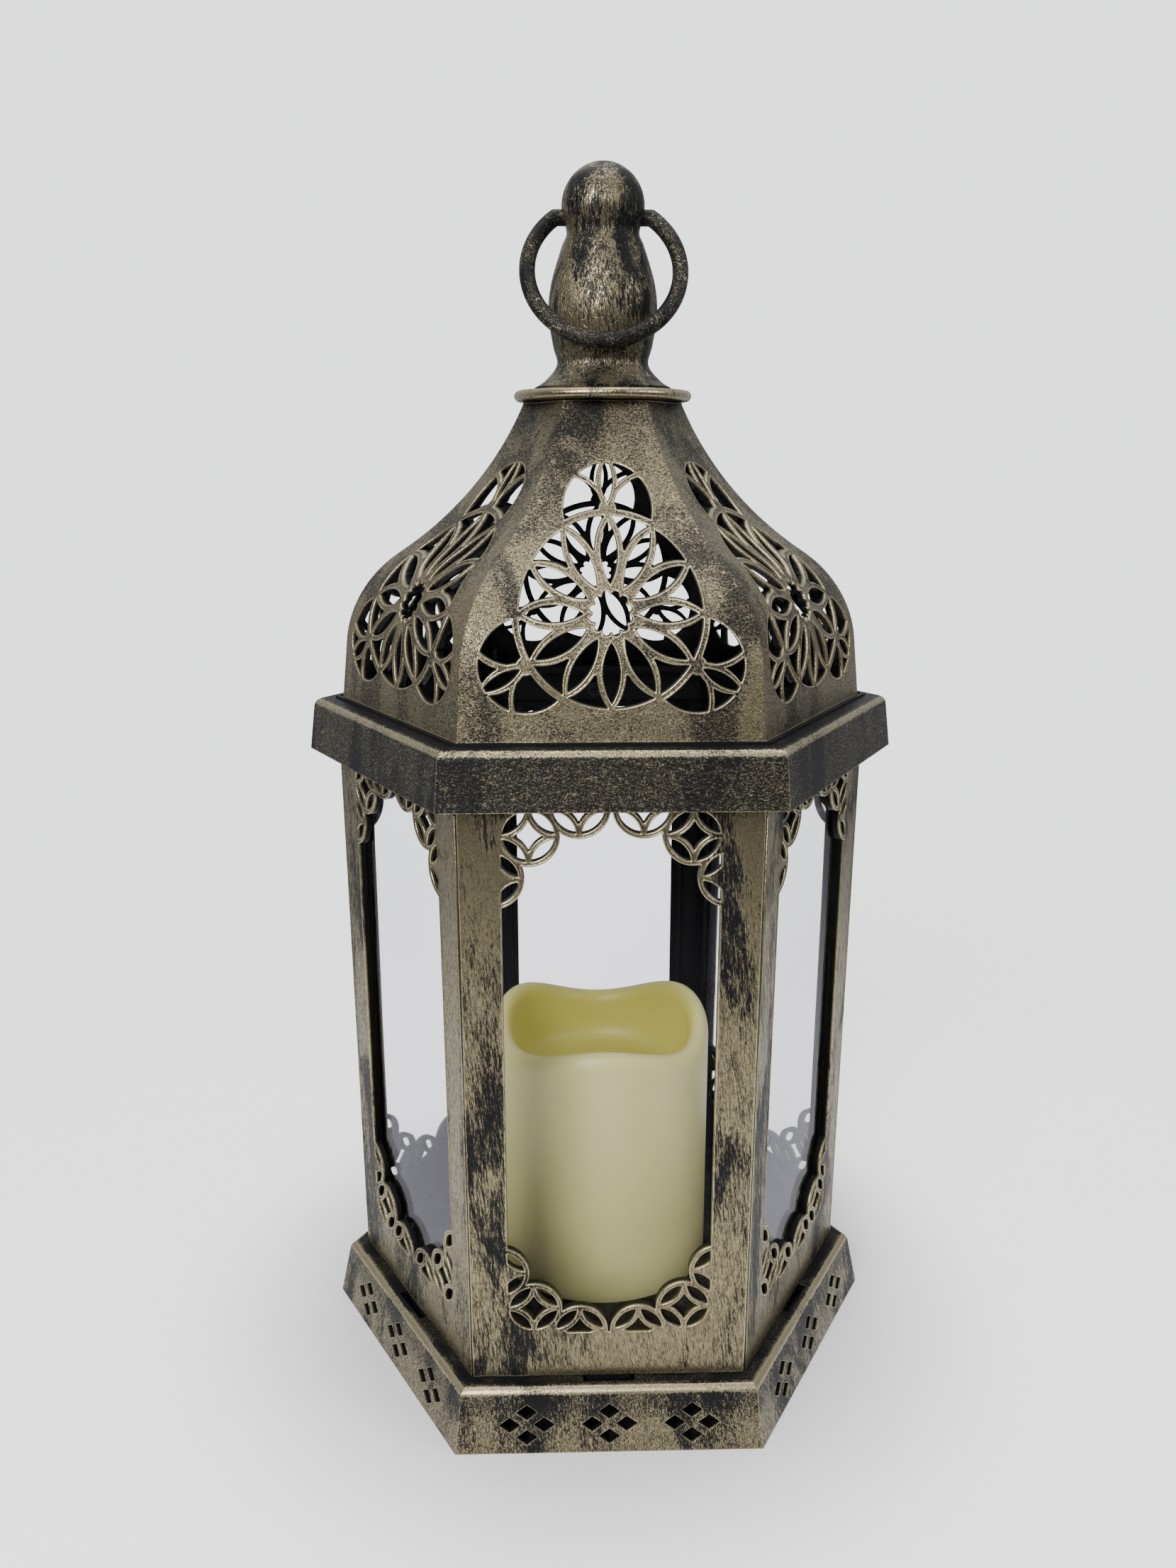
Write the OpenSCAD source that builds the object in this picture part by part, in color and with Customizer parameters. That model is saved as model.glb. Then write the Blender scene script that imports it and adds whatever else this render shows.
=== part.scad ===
// Hexagonal lantern: moulded base, six pierced side panels with clear panes, a cornice,
// an ogee dome, a turned finial with a swinging ring, and a battery candle inside.
// +Z is up, the origin is the centre of the base at the floor, and a flat side faces -Y.

/* [Base] */
// Corner-to-corner width of the base at the floor
base_w = 190; // [188:1:196]
// Height of the base deck
base_h = 20.3; // [20:0.1:20.6]
// Inward lean of the base walls, in degrees
base_lean = 10.6; // [9:0.2:12]
// Rounding of the deck's outer edge
base_round = 3.5; // [2:0.5:4]

/* [Side panels] */
// Distance from the centre to the outside of a panel at its foot
panel_foot = 73.4; // [73:0.1:73.8]
// Distance from the centre to the outside of a panel where it enters the cornice
panel_head = 74.8; // [74.4:0.1:75]
// Thickness of a panel
panel_t = 2.4; // [2.2:0.1:2.6]
// Half width of the window
window_x = 30.7; // [30:0.1:31.5]
// Height of the window's sill
sill_z = 36; // [35:0.5:37]
// Centre-line radius of a filigree circle
ring_r = 8; // [7.5:0.1:8.4]
// Width of a filigree rib
rib_w = 1.6; // [1.4:0.1:2]

/* [Cornice and dome] */
// Height of the underside of the cornice
eave_z = 204.2; // [204:0.1:204.6]
// Height of the top of the cornice
eave_top = 221; // [220.8:0.1:221.4]
// Corner-to-corner width of the cornice at its lower edge
eave_w = 191.4; // [190:0.2:194]
// Distance from the centre to the face of the dome, where its straight wall ends
dome_face = 71.5; // [71:0.1:72]
// Height at which the straight wall of the dome ends
dome_wall_z = 239.8; // [239:0.1:241]
// Radius of the dome's outward curve
dome_out_r = 39.7; // [38.5:0.1:41]
// Radius of the dome's inward curve
dome_in_r = 101.4; // [98:0.2:105]
// Height of the top of the dome
dome_top = 313.3; // [312.8:0.1:313.8]
// Height of the centre of the rosette
rosette_z = 255.5; // [255:0.1:256]

/* [Finial and ring] */
// Radius of the ball on the finial
ball_r = 12.5; // [12.2:0.1:12.8]
// Height of the ball's centre above the dome
ball_up = 56.1; // [55.8:0.1:56.6]
// Radius of the ring's centre line
hoop_r = 22.8; // [22.5:0.1:23.5]
// Radius of the ring's wire
wire_r = 2.4; // [2.2:0.1:2.5]
// Angle of the ring from vertical at rest, in degrees
hoop_tilt = 26.5; // [26.5:0.5:32]

/* [Candle] */
// Radius of the candle
candle_r = 37.5; // [37:0.1:37.6]
// Height of the rim at its mean
rim_z = 107.5; // [100:0.5:112]
// Height of the waves of the rim
rim_wave = 3.8; // [3:0.2:5]

/* [Hidden] */
$fn = 96;

bronze = [0.58, 0.53, 0.41];
dark_bronze = [0.40, 0.36, 0.28];
wax = [0.86, 0.83, 0.66];
black = [0.10, 0.10, 0.11];
steel = [0.72, 0.73, 0.75];
black_steel = [0.12, 0.12, 0.13];

flat = cos(30);                  // distance to a flat side over the distance to a corner
wall = 2.3;                      // wall of the base and the cornice
gap = 0.1;                       // clearance between seated parts
big = 400;

// Side panels
panel_z0 = base_h + gap;
panel_z1 = 216;
panel_lean = (panel_head - panel_foot) / (eave_z - base_h);
mid_z = (sill_z + 203.8) / 2;    // the window is the same above and below this height
seam = 0.3;                      // groove between two panels
slot_w = 16;
slot_y = panel_foot + 2.3;       // outer edge of a catch slot in the deck
hook_w = 14;
rail_x = 33.3;                   // inner side of the rail that holds a pane's edge
rail_d = 2.2;
pane_t = 1;
pane_z0 = 30;
pane_z1 = 206.4;
screw_z = 211.2;                 // height of the screws that hold the panels to the cornice
thread_r = 1.4;                  // small self-tapping screw
thread_hole = 1.45;
screw_head_r = 2.9;

// Cornice and dome
eave_lean = 6.3;
skirt_out = 72.2;                // outside of the lip behind the panels' heads
skirt_t = 2;
skirt_z = 207;
deck_in = 62;                    // inner edge of the cornice deck and of the dome's flange
boss_at = 75.5;                  // distance of the dome's screws from the centre
dome_lean = 5.3;
dome_turn = 53.4;                // angle at which the outward curve meets the inward one
dome_t = 2.4;
dome_c1 = [dome_face - dome_out_r * cos(dome_lean), dome_wall_z - dome_out_r * sin(dome_lean)];
dome_c2 = dome_c1 + (dome_out_r + dome_in_r) * [cos(dome_turn), sin(dome_turn)];

// Rosette
rose_r = 25;                     // inside of the main ring
rose_ring = 27;                  // outside of the main ring
petals = 12;
corner_r = 12.6;                 // inside of each of the three smaller rings

// Finial: distance from the axis and height above the dome
finial_curve = [[27, 2.2], [21, 4.2], [17.4, 6.6], [14.1, 11], [15.3, 16.6], [16.6, 25.5],
    [15.8, 34.2], [12.6, 44.5], [11, 48.2], [11.6, 51.5]];
ball_z = dome_top + ball_up;
pivot_z = ball_z - 3.1;
pin_clear = 0.05;
arm_x = ball_r + wire_r * 0.8;   // where the ring meets its hinge pins
hoop_drop = sqrt(hoop_r * hoop_r - arm_x * arm_x);
hoop_gap = asin(arm_x / hoop_r); // half angle of the opening in the ring

// Candle
seat_z = 17;
seat_r = candle_r + 0.7;
hatch_r = 34;                    // opening in the base below the candle
wax_t = 4.2;
well_z = 85;                     // floor of the candle's well
cap_r = candle_r - wax_t - 0.2;
cap_z0 = seat_z + 0.4;
cap_z1 = cap_z0 + 2.6;
door_x = 18;
door_y0 = -24;
door_hinge = [26, cap_z0 + 1.3];
door_t = 2;
hinge_pin_r = 0.8;
box_z1 = 31;
cell_r = 5.2;                    // AAA cell
cell_l = 43.3;
cell_pitch = 11.2;
cell_z = cap_z1 + 0.2 + cell_r;
bay_y = [-23.6, 24.6];
board_z = 34.5;
switch_x = 26;
knob_y = -2;

function lerp_curve(p, i, t) = // Catmull-Rom point between p[i] and p[i + 1]
    let (a = p[max(i - 1, 0)], b = p[i], c = p[i + 1], d = p[min(i + 2, len(p) - 1)])
    0.5 * (2 * b + (c - a) * t + (2 * a - 5 * b + 4 * c - d) * t * t
        + (3 * b - a - 3 * c + d) * t * t * t);

// ---------- shared shapes ----------

// A six-sided solid with mitred corners from a symmetric outline of height against half width
module hexagonal()
    intersection_for (k = [0:2])
        rotate(30 + 60 * k) rotate([90, 0, 0]) linear_extrude(big, center = true) children();

// A straight six-sided prism from the centre to flat sides at distance a
module hex_prism(a, z0, z1)
    translate([0, 0, z0]) cylinder(h = z1 - z0, r = a / flat, $fn = 6);

// Copies of a shape on the six sides, made for the side that faces -Y
module six_sides()
    for (k = [0:5]) rotate(60 * k) children();

// Copies of a shape at the six corners, made for the corner on +X
module six_corners()
    for (k = [0:5]) rotate(60 * k) children();

// Outline of a leaning wall with a rounded shoulder, drawn as short flats
module shoulder_2d(a, lean, z0, z1, r) {
    cx = a - (z1 - r - z0) * tan(lean) - r / cos(lean);
    step = (90 - lean) / 6;
    edge = [for (i = [0:6]) let (t = lean + i * step) [cx + r * cos(t), z1 - r + r * sin(t)]];
    polygon(concat([[-a, z0], [a, z0]], edge, [for (i = [6:-1:0]) [-edge[i][0], edge[i][1]]]));
}

// A leaf between two arcs, along +Y from r0 to r1, hw wide to each side
module leaf_2d(r0, r1, hw) {
    reach = (r1 - r0) / 2;
    arc_r = (reach * reach + hw * hw) / (2 * hw);
    intersection() {
        translate([arc_r - hw, (r0 + r1) / 2]) circle(arc_r);
        translate([hw - arc_r, (r0 + r1) / 2]) circle(arc_r);
    }
}

// A screw pointing up: its head's underside is at z = 0
module screw(shank_r, length, head_r, head_h) {
    cylinder(h = length, r = shank_r);
    difference() {
        translate([0, 0, -head_h]) cylinder(h = head_h, r = head_r);
        for (a = [0, 90]) rotate(a) translate([-head_r * 0.6, -0.4, -head_h - 1])
            cube([head_r * 1.2, 0.8, 1 + head_h * 0.5]);
    }
}

// ---------- base ----------

module diamonds_2d() {
    pitch = 25.4;
    for (x = [-pitch, 0, pitch])
        for (d = [[-5.3, 0], [5.3, 0], [0, 3.85], [0, -3.85]])
            translate([x + d[0], 8.8 + d[1]])
                polygon([[-3.4, 0], [0, -2.4], [3.4, 0], [0, 2.4]]);
}

module base_outer() hexagonal()
    shoulder_2d(base_w / 2 * flat, base_lean, 0, base_h, base_round);

module base_plinth() color(bronze) {
    rib_t = 1.6;
    cup_r = seat_r + 2.6;
    difference() {
        union() {
            difference() {
                base_outer();
                hexagonal() shoulder_2d(base_w / 2 * flat - wall + 0.2, base_lean, -1, base_h - wall, 1);
            }
            intersection() {
                base_outer();
                union() {
                    translate([0, 0, seat_z - 2.2]) cylinder(h = base_h, r = cup_r);
                    six_corners() translate([cup_r - 1, -rib_t / 2, 6]) cube([60, rib_t, base_h]);
                }
            }
        }
        translate([0, 0, seat_z]) cylinder(h = base_h, r = seat_r);
        translate([0, 0, -1]) cylinder(h = big, r = hatch_r);
        six_sides() translate([-slot_w / 2, -slot_y, 12]) cube([slot_w, 5.5, base_h]);
        six_sides() translate([0, -70, 0]) rotate([90, 0, 0]) linear_extrude(20) diamonds_2d();
    }
}

// ---------- side panels ----------

// One filigree circle's openings: four leaves, and a square between them where it is open
module quatrefoil_2d(open) {
    inner = ring_r - rib_w / 2;
    for (a = [45:90:315]) rotate(a) intersection() {
        circle(inner);
        translate([ring_r * sqrt(2), 0]) circle(inner);
    }
    if (open) difference() {
        circle(inner);
        for (a = [45:90:315]) rotate(a) translate([ring_r * sqrt(2), 0]) circle(ring_r + rib_w / 2);
    }
}

// The filigree circles at one lower corner of the window: x, z, and whether the middle is open
function filigree() = [[ring_r + 1, sill_z + 0.6, true],
    [ring_r * 3 - 1, sill_z + ring_r + 0.6, true],
    [ring_r * 4 + 1, sill_z + 21, false]];

// The solid corner of the frame, under the line through the centres of its circles
module corner_web_2d() {
    low = filigree()[0];
    side = filigree()[1];
    polygon([[low[0], sill_z - 2], [low[0], low[1]], [side[0], side[1]],
        [window_x + 2, side[1]], [window_x + 2, sill_z - 2]]);
}

module window_2d() {
    half = mid_z - sill_z;
    intersection() {
        translate([-window_x, sill_z]) square([2 * window_x, 2 * half]);
        union() {
            difference() {
                translate([-window_x - 1, sill_z - 1]) square([2 * window_x + 2, 2 * half + 2]);
                for (sx = [-1, 1], sz = [-1, 1], c = filigree())
                    translate([sx * c[0], mid_z + sz * (c[1] - mid_z)]) circle(ring_r + rib_w / 2);
                for (sx = [-1, 1], sz = [-1, 1])
                    translate([0, mid_z]) scale([sx, sz]) translate([0, -mid_z]) corner_web_2d();
            }
            for (sx = [-1, 1], sz = [-1, 1], c = filigree())
                translate([sx * c[0], mid_z + sz * (c[1] - mid_z)]) quatrefoil_2d(c[2]);
        }
    }
}

// A leaning plate behind the front: from depth d0 to depth d1 behind the panel's outer face
module leaning_plate(x0, x1, z0, z1, d0, d1) {
    face0 = -(panel_foot + (z0 - base_h) * panel_lean);
    face1 = -(panel_foot + (z1 - base_h) * panel_lean);
    translate([x0, 0, 0]) rotate([90, 0, 90]) linear_extrude(x1 - x0)
        polygon([[face0 + d0, z0], [face0 + d1, z0], [face1 + d1, z1], [face1 + d0, z1]]);
}

module catch_hook() {
    y1 = -(panel_foot - 0.3);
    y0 = y1 + 1.9;
    tip = 1.7;
    translate([-hook_w / 2, 0, 0]) rotate([90, 0, 90]) linear_extrude(hook_w)
        polygon([[y0, panel_z0 + 3], [y1, panel_z0 + 3], [y1, 17.4], [y1 - tip, 17.4],
            [y1 - tip, 16], [y1, 11.5], [y0, 11.5]]);
}

module side_panel() color(bronze) {
    boss_y = panel_head + 3.8;
    difference() {
        union() {
            intersection() {
                leaning_plate(-60, 60, panel_z0, panel_z1, 0, panel_t);
                linear_extrude(big) polygon([[0, -seam], [-60, -seam - 60 / tan(30)],
                    [60, -seam - 60 / tan(30)]]);
            }
            for (s = [0, 1]) mirror([s, 0, 0])
                leaning_plate(rail_x, rail_x + 1.6, pane_z0 - 2, pane_z1, panel_t - 0.2, panel_t + rail_d);
            leaning_plate(-rail_x, rail_x, pane_z0 - 2, pane_z0 - 0.4, panel_t - 0.2, panel_t + rail_d);
            catch_hook();
            translate([0, 1 - panel_head, screw_z]) rotate([90, 0, 0]) cylinder(h = 4.8, r = 3.2);
        }
        translate([0, 0, screw_z]) rotate([90, 0, 0]) cylinder(h = boss_y + 1, r = thread_hole);
        rotate([90, 0, 0]) linear_extrude(big) window_2d();
    }
}

module window_pane() color([0.85, 0.88, 0.92, 0.3])
    leaning_plate(-rail_x + 0.2, rail_x - 0.2, pane_z0, pane_z1, panel_t + 0.05, panel_t + 0.05 + pane_t);

module panel_screws() color(black_steel)
    six_sides() translate([0, skirt_t - skirt_out, screw_z]) rotate([90, 0, 0])
        screw(thread_r, 7.6, screw_head_r, 1.6);

// ---------- cornice and dome ----------

module cornice() color(bronze) difference() {
    union() {
        difference() {
            hexagonal() shoulder_2d(eave_w / 2 * flat, eave_lean, eave_z, eave_top, 3);
            hexagonal() shoulder_2d(eave_w / 2 * flat - wall + 0.1, eave_lean,
                eave_z - 1, eave_top - wall, 1);
        }
        difference() {
            hex_prism(skirt_out, skirt_z, eave_top - 1);
            hex_prism(skirt_out - skirt_t, skirt_z - 1, eave_top);
        }
        difference() {
            hex_prism(75.2, eave_top - 1, eave_top + 0.7);
            hex_prism(74, eave_top - 2, eave_top + 2);
        }
    }
    hex_prism(deck_in, eave_z, eave_top + 5);
    six_sides() translate([0, 0, screw_z]) rotate([90, 0, 0]) cylinder(h = 75, r = 1.7);
    six_corners() translate([boss_at, 0, eave_z]) cylinder(h = 30, r = 1.7);
}

// Outline of the dome, moved in by t: a straight foot, an outward curve and an inward curve
module dome_2d(t, top) {
    step = 4;
    out_r = dome_out_r - t;
    in_r = dome_in_r + t;
    p1 = dome_c1 + out_r * [cos(dome_lean), sin(dome_lean)];
    last = asin((dome_c2[1] - top) / in_r);
    side = concat([[p1[0] + (p1[1] - eave_top) * tan(dome_lean), eave_top]],
        [for (a = [dome_lean:step:dome_turn - 1]) dome_c1 + out_r * [cos(a), sin(a)]],
        [for (a = [dome_turn:-step:last + 1]) dome_c2 - in_r * [cos(a), sin(a)]],
        [dome_c2 - in_r * [cos(last), sin(last)]]);
    n = len(side) - 1;
    polygon(concat(side, [for (i = [n:-1:0]) [-side[i][0], side[i][1]]]));
}

module rosette_2d() {
    circle(4.9);
    for (i = [0:petals - 1]) rotate(360 / petals * (i + 0.5)) translate([4.9, 0]) circle(1);
    for (i = [0:petals - 1]) rotate(360 / petals * i) leaf_2d(7.5, 23.7, 2.3);
    difference() {
        circle(rose_r);
        circle(16.6);
        for (i = [0:petals - 1]) rotate(360 / petals * i) leaf_2d(5, 26.2, 4.1);
    }
}

// Openings of a smaller ring: its outward side is +Y
module corner_ring_2d() {
    rib_r = corner_r + 0.7;
    difference() {
        circle(corner_r);
        translate([0, -rose_ring]) circle(rose_ring);
        leaf_2d(-1, 15, 3.2);
        circle(2.6);
        for (s = [-1, 1]) translate(rib_r * [s * sin(105), cos(105)]) difference() {
            circle(rib_r + rib_w / 2);
            circle(rib_r - rib_w / 2);
        }
    }
    intersection() {
        leaf_2d(1.6, 13.8, 1.65);
        circle(corner_r);
    }
}

module facet_openings_2d() translate([0, rosette_z]) {
    rosette_2d();
    for (a = [0, 120, 240]) rotate(a) translate([0, rose_ring]) corner_ring_2d();
}

module dome_block(t, top) hexagonal() dome_2d(t, top);

// The openings of one side, kept clear of its neighbours'
module dome_openings() intersection() {
    rotate([90, 0, 0]) linear_extrude(100) facet_openings_2d();
    linear_extrude(big) polygon([[0, -2], [-98 * tan(30), -100], [98 * tan(30), -100]]);
}

module dome() color(bronze) difference() {
    union() {
        difference() {
            dome_block(0, dome_top);
            dome_block(dome_t, dome_top - 2.3);
        }
        difference() {
            hex_prism(71.8, eave_top, eave_top + 2.2);
            hex_prism(deck_in, eave_top - 1, eave_top + 5);
        }
        six_corners() translate([boss_at, 0, eave_top + 1]) cylinder(h = 8, r = 3);
    }
    six_corners() translate([boss_at, 0, eave_top - 1]) cylinder(h = 8.6, r = thread_hole);
    translate([0, 0, dome_top - 5]) cylinder(h = 10, r = 2.2);
    six_sides() dome_openings();
}

module dome_screws() color(black_steel)
    six_corners() translate([boss_at, 0, eave_top - wall - 0.05])
        screw(thread_r, 8.8, screw_head_r, 1.6);

// ---------- finial and ring ----------

module finial() color(dark_bronze) difference() {
    translate([0, 0, dome_top + 0.05]) rotate_extrude() {
        square([25.8, 3.2]);
        translate([25.8, 1.6]) circle(1.6);
        polygon(concat([[0, 0.5], [20, 0.5]],
            [for (i = [1:len(finial_curve) - 2], t = [0:0.125:0.99]) lerp_curve(finial_curve, i, t)],
            [[11.6, 51.5], [0, 51.5]]));
        intersection() {
            translate([0, ball_up - 0.05]) circle(ball_r);
            translate([0, 40]) square([20, 40]);
        }
    }
    translate([0, 0, dome_top - 1]) difference() {
        cylinder(h = 36, r = 9.5);
        cylinder(h = 50, r = 4.5);
    }
    translate([0, 0, dome_top - 1]) cylinder(h = 16, r = 1.95);
    for (s = [-1, 1]) translate([s * 5.5, 0, pivot_z]) rotate([0, s * 90, 0])
        cylinder(h = 20, r = wire_r + pin_clear);
}

module finial_washer() color(steel) translate([0, 0, dome_top - 3.6]) difference() {
    cylinder(h = 1.2, r = 9);
    translate([0, 0, -1]) cylinder(h = 4, r = 2.2);
}

module finial_screw() color(steel) translate([0, 0, dome_top - 3.65]) screw(1.9, 17, 4, 2.4);

module ring_handle() color(dark_bronze)
    translate([0, 0, pivot_z]) rotate([-hoop_tilt, 0, 0]) {
        translate([0, 0, -hoop_drop]) rotate([90, 0, 0]) rotate(90 + hoop_gap)
            rotate_extrude(angle = 360 - 2 * hoop_gap) translate([hoop_r, 0]) circle(wire_r);
        for (s = [-1, 1]) {
            translate([s * arm_x, 0, 0]) sphere(wire_r);
            translate([s * 6, 0, 0]) rotate([0, s * 90, 0]) cylinder(h = arm_x - 6, r = wire_r);
        }
    }

// ---------- candle ----------

// Height of the rim at an angle from the front
function rim_at(a) = rim_z + rim_wave * cos(3 * a) - 1.1 * cos(2 * a);

// Outline of the wax wall at an angle from the front, as a closed loop
function wax_loop(a) = let (top = rim_at(a)) [
    [candle_r, seat_z], [candle_r, top - 6.5], [candle_r - 0.6, top - 3.2],
    [candle_r - 2, top - 0.9], [candle_r - 3.8, top], [candle_r - 5.4, top - 0.9],
    [candle_r - 6.4, top - 3.4], [candle_r - 7, well_z + 5], [candle_r - 9, well_z + 1],
    [candle_r - 13, well_z], [5, well_z], [5, well_z - 4], [candle_r - 9, well_z - 4],
    [candle_r - wax_t, well_z - 9], [candle_r - wax_t, seat_z]];

module candle_shell() color(wax) {
    steps = 60;
    rows = len(wax_loop(0));
    points = [for (i = [0:steps - 1]) let (a = 360 / steps * i) for (p = wax_loop(a))
        [p[0] * sin(a), -p[0] * cos(a), p[1]]];
    faces = [for (i = [0:steps - 1], j = [0:rows - 1])
        let (i1 = (i + 1) % steps, j1 = (j + 1) % rows)
        [i * rows + j, i * rows + j1, i1 * rows + j1, i1 * rows + j]];
    polyhedron(points, faces);
}

module candle_base() color(black) difference() {
    union() {
        translate([0, 0, cap_z0]) cylinder(h = cap_z1 - cap_z0, r = cap_r);
        translate([0, 0, cap_z0]) difference() {
            cylinder(h = 26, r = cap_r);
            translate([0, 0, 1]) cylinder(h = 30, r = cap_r - 1.6);
        }
        translate([-door_x - 2.2, bay_y[0] - 1.5, cap_z0])
            cube([2 * door_x + 4.4, bay_y[1] - bay_y[0] + 3, box_z1 + 1.4 - cap_z0]);
    }
    translate([-17.2, bay_y[0], cap_z1]) cube([34.4, bay_y[1] - bay_y[0], box_z1 - cap_z1]);
    translate([-door_x - 0.3, door_y0 - 0.4, cap_z0 - 1])
        cube([2 * door_x + 0.6, door_hinge[0] + 1.4 - door_y0 + 0.4, cap_z1 - cap_z0 + 1]);
    for (s = [-1, 1]) translate([s * (door_x - 1), door_hinge[0], door_hinge[1]]) rotate([0, s * 90, 0])
        cylinder(h = 3, r = hinge_pin_r + pin_clear);
    translate([switch_x - 1.7, -4, cap_z0 - 1]) cube([3.4, 8, 6]);
}

module battery_door() color(black) difference() {
    union() {
        translate([-door_x, door_y0, door_hinge[1] - door_t / 2])
            cube([2 * door_x, door_hinge[0] - door_y0, door_t]);
        translate([-door_x, door_hinge[0], door_hinge[1]]) rotate([0, 90, 0])
            cylinder(h = 2 * door_x, r = door_t / 2);
        translate([-door_x - 1.6, door_hinge[0], door_hinge[1]]) rotate([0, 90, 0])
            cylinder(h = 2 * door_x + 3.2, r = hinge_pin_r);
    }
    translate([0, door_y0 - 1, door_hinge[1] - 2]) cylinder(h = 4, r = 5);
}

module batteries() color([0.15, 0.32, 0.55])
    for (i = [-1, 0, 1]) {
        way = i == 0 ? -1 : 1;
        end = way > 0 ? bay_y[1] - 0.7 : bay_y[0] + 0.7;
        translate([i * cell_pitch, end, cell_z]) rotate([way * 90, 0, 0]) {
            cylinder(h = 2, r = 1.9);
            translate([0, 0, 1.2]) cylinder(h = cell_l, r = cell_r);
        }
    }

module battery_contacts() color(steel)
    for (i = [-1, 0, 1]) {
        way = i == 0 ? -1 : 1;
        plus = way > 0 ? bay_y[1] - 0.1 : bay_y[0] + 0.1;
        minus = way > 0 ? bay_y[0] + 0.1 : bay_y[1] - 0.1;
        translate([i * cell_pitch, plus, cell_z]) rotate([way * 90, 0, 0])
            translate([-4, -4, 0]) cube([8, 8, 0.5]);
        translate([i * cell_pitch, minus, cell_z]) rotate([way * -90, 0, 0]) {
            translate([-4, -4, 0]) cube([8, 8, 0.5]);
            rotate_extrude() {
                translate([2.7, 0]) square([0.5, 2.2]);
                for (turn = [0:1]) translate([3, 1 + turn]) circle(0.5);
            }
        }
    }

module circuit_board() color([0.10, 0.36, 0.20]) difference() {
    union() {
        translate([0, 0, board_z]) cylinder(h = 1.6, r = 29.5);
        translate([-12, -10, board_z + 1.5]) cube([8, 6, 1.9]);
        translate([14, -4, board_z + 1.5]) cylinder(h = 6, r = 2.5);
        for (a = [60:120:300]) rotate(a) translate([14, 0, box_z1 + 1.5]) cylinder(h = 2.5, r = 2);
    }
    translate([0, 0, board_z - 3]) for (s = [-1, 1]) translate([s * 1.27, 0, 0]) cylinder(h = 9, r = 0.5);
}

module battery_wires() color([0.75, 0.12, 0.10])
    for (s = [-1, 1]) {
        translate([s * 6, 27.8, 23]) cylinder(h = board_z - 23 - 0.05, r = 0.6);
        translate([s * 6, 27.8, 23]) sphere(0.6);
        translate([s * 6, 27.8, 23]) rotate([90, 0, 0]) cylinder(h = 1.6, r = 0.6);
    }

module led_post() color(black) difference() {
    translate([0, 0, board_z + 1.65]) cylinder(h = well_z - board_z - 3, r = 4.5);
    cylinder(h = big, r = 3.1);
}

module led_lamp() color([0.95, 0.75, 0.35]) {
    z0 = well_z - 1.3;
    translate([0, 0, z0]) cylinder(h = 1, r = 3.6);
    translate([0, 0, z0 + 0.5]) cylinder(h = 3.6, r = 2.5);
    translate([0, 0, z0 + 4.1]) sphere(2.5);
    for (s = [-1, 1]) translate([s * 1.27, 0, board_z + 0.2]) cylinder(h = z0 - board_z, r = 0.35);
}

module switch_body() color([0.25, 0.25, 0.27])
    translate([switch_x - 3.5, -5.5, cap_z1 + 1.4]) cube([7, 11, 5]);

module switch_knob() color([0.8, 0.8, 0.8]) {
    translate([switch_x - 1.5, knob_y - 1.6, cap_z0 - 0.5]) cube([3, 3.2, cap_z1 - cap_z0 + 1.8]);
    translate([switch_x - 2.4, knob_y - 1.8, cap_z0 - 1.2]) cube([4.8, 3.6, 1]);
}

base_plinth();
side_panel();  // panel_front
rotate(60) side_panel();  // panel_front_right
rotate(120) side_panel();  // panel_rear_right
rotate(180) side_panel();  // panel_rear
rotate(240) side_panel();  // panel_rear_left
rotate(300) side_panel();  // panel_front_left
window_pane();  // pane_front
rotate(60) window_pane();  // pane_front_right
rotate(120) window_pane();  // pane_rear_right
rotate(180) window_pane();  // pane_rear
rotate(240) window_pane();  // pane_rear_left
rotate(300) window_pane();  // pane_front_left
cornice();
panel_screws();
dome();
dome_screws();
finial();
finial_screw();
finial_washer();
ring_handle();
candle_shell();
candle_base();
battery_door();
batteries();
battery_contacts();
circuit_board();
battery_wires();
led_post();
led_lamp();
switch_body();
switch_knob();
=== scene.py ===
"""Looks of the hexagonal lantern: brushed bronze over black plastic, clear panes, a wax candle."""
import math

import bmesh
import bpy
import numpy as np
from mathutils import Matrix, Vector
from mathutils.geometry import delaunay_2d_cdt


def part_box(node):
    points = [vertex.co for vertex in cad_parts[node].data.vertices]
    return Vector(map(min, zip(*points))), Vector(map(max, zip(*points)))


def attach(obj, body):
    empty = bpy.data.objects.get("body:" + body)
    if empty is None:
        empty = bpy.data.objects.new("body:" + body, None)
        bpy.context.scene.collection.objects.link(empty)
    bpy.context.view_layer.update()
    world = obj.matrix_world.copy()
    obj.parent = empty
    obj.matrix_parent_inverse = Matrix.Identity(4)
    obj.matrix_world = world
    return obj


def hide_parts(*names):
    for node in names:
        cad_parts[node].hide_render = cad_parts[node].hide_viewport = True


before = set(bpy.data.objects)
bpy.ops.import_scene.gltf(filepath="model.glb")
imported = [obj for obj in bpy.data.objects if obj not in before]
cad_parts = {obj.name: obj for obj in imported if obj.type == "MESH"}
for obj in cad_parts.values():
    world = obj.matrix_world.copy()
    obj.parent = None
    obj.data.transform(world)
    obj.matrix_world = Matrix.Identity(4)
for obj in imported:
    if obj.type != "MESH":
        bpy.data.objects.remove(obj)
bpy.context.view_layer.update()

MM = 0.001
TAN30 = math.tan(math.radians(30))
SIDES = ["front", "front_right", "rear_right", "rear", "rear_left", "front_left"]


# ---------- sizes in millimetres: boxes from the frame, the rest as in the part's source ----------

def node_box(name):
    low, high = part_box(name)
    return low / MM, high / MM


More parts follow.
